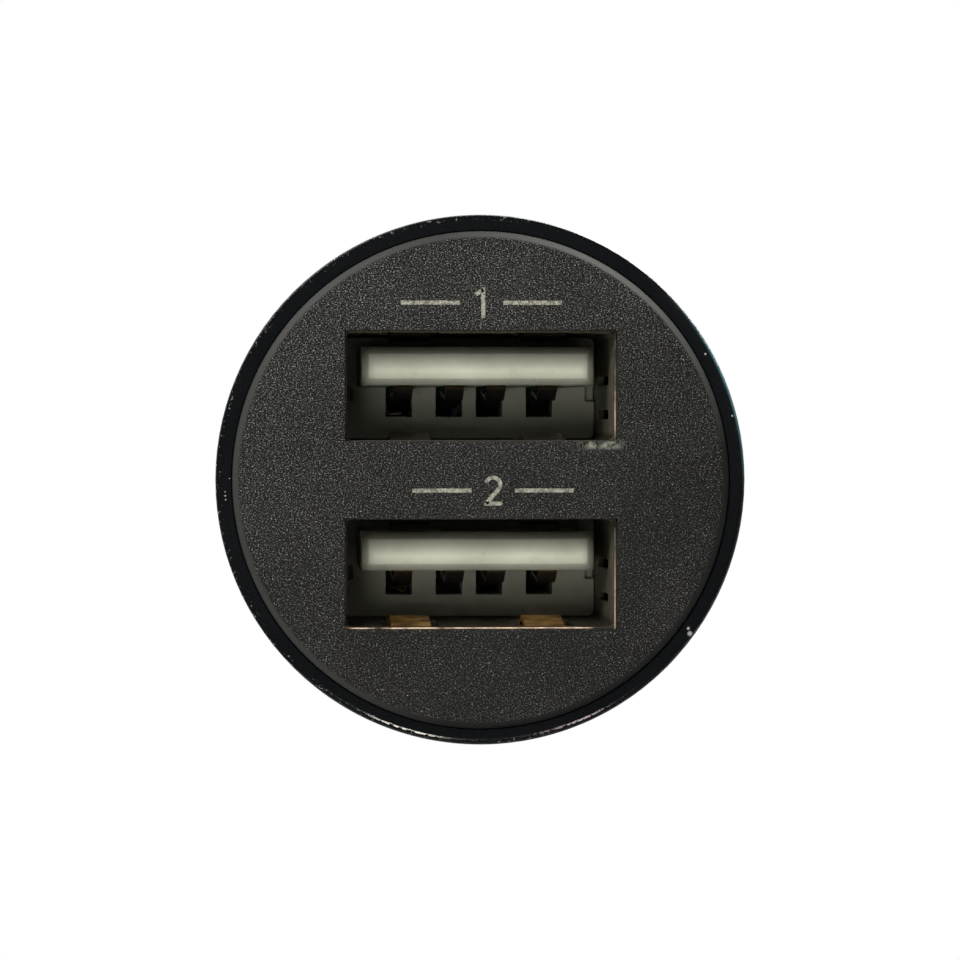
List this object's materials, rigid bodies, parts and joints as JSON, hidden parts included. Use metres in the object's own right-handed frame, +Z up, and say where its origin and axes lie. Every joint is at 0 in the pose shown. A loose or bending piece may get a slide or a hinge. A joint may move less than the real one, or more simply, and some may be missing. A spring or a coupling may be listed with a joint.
{
  "type": "two-port car charger plug",
  "caption": "Round car charger plug with two stacked charging ports in its face, a barrel with sprung side contacts and a sprung centre contact.",
  "frame": {"origin": "on the plug's axis in the plane of the head's shoulder, where the barrel enters the socket", "axes": "+Y along the plug's axis towards the centre contact, -Y out of the port face, +Z up across the two stacked ports, +X to the right seen from the port face"},
  "size_m": [0.025, 0.0662, 0.025],
  "materials": {
    "gloss_black_sleeve": "gloss black",
    "textured_face": "fine spark-eroded grain, dark grey",
    "satin_barrel": "satin black",
    "nose_plastic": "satin black",
    "nickel_contact": "nickel plated, bright",
    "spring_wire": "drawn steel wire",
    "spring_brass": "brass sheet",
    "nickel_leaf": "nickel plated spring sheet",
    "port_metal": "plated sheet, coppery at its cut edges",
    "insert_plastic": "off-white heat-proof plastic",
    "contact_gold": "gold flash",
    "board_laminate": "green board lacquer",
    "ferrite": "sintered ferrite",
    "copper_wire": "enamelled copper",
    "capacitor_can": "aluminium can",
    "chip_plastic": "moulded epoxy",
    "fuse_body": "ceramic body",
    "ceramic": "fired ceramic",
    "resistor_black": "black glaze"
  },
  "bodies": {
    "plug": {"head_sleeve": "gloss_black_sleeve", "face_plate": "textured_face", "barrel_housing": "satin_barrel", "nose_ring": "nose_plastic", "contact_spring": "spring_wire", "spring_plate": "spring_brass", "upper_port_can": "port_metal", "lower_port_can": "port_metal", "upper_port_insert": "insert_plastic", "lower_port_insert": "insert_plastic", "upper_port_contacts": "contact_gold", "lower_port_contacts": "contact_gold", "port_board": "board_laminate", "power_board": "board_laminate", "board_pins": "spring_brass", "inductor_core": "ferrite", "inductor_coil": "copper_wire", "input_capacitor": "capacitor_can", "output_capacitor": "capacitor_can", "converter_chip": "chip_plastic", "charge_chip": "chip_plastic", "rectifier_diode": "chip_plastic", "board_fuse": "fuse_body", "chip_capacitors": "ceramic", "chip_resistors": "resistor_black"},
    "centre_contact": {"centre_contact": "nickel_contact"},
    "left_contact": {"left_side_contact": "nickel_leaf"},
    "right_contact": {"right_side_contact": "nickel_leaf"}
  },
  "joints": [
    {"name": "centre_contact_press", "type": "slide", "parent": "plug", "child": "centre_contact", "axis": [0, -1, 0], "range_m": [0, 0.003], "stiffness_N_per_m": 2000, "springref_m": -0.001, "deforming": ["contact_spring"]},
    {"name": "left_contact_press", "type": "hinge", "parent": "plug", "child": "left_contact", "pos_m": [-0.0073, 0.0109, 0], "axis": [0, 0, -1], "range_deg": [0, 8.6], "stiffness_Nm_per_rad": 0.3, "springref_deg": -2.86},
    {"name": "right_contact_press", "type": "hinge", "parent": "plug", "child": "right_contact", "pos_m": [0.0073, 0.0109, 0], "axis": [0, 0, 1], "range_deg": [0, 8.6], "stiffness_Nm_per_rad": 0.3, "springref_deg": -2.86}
  ]
}
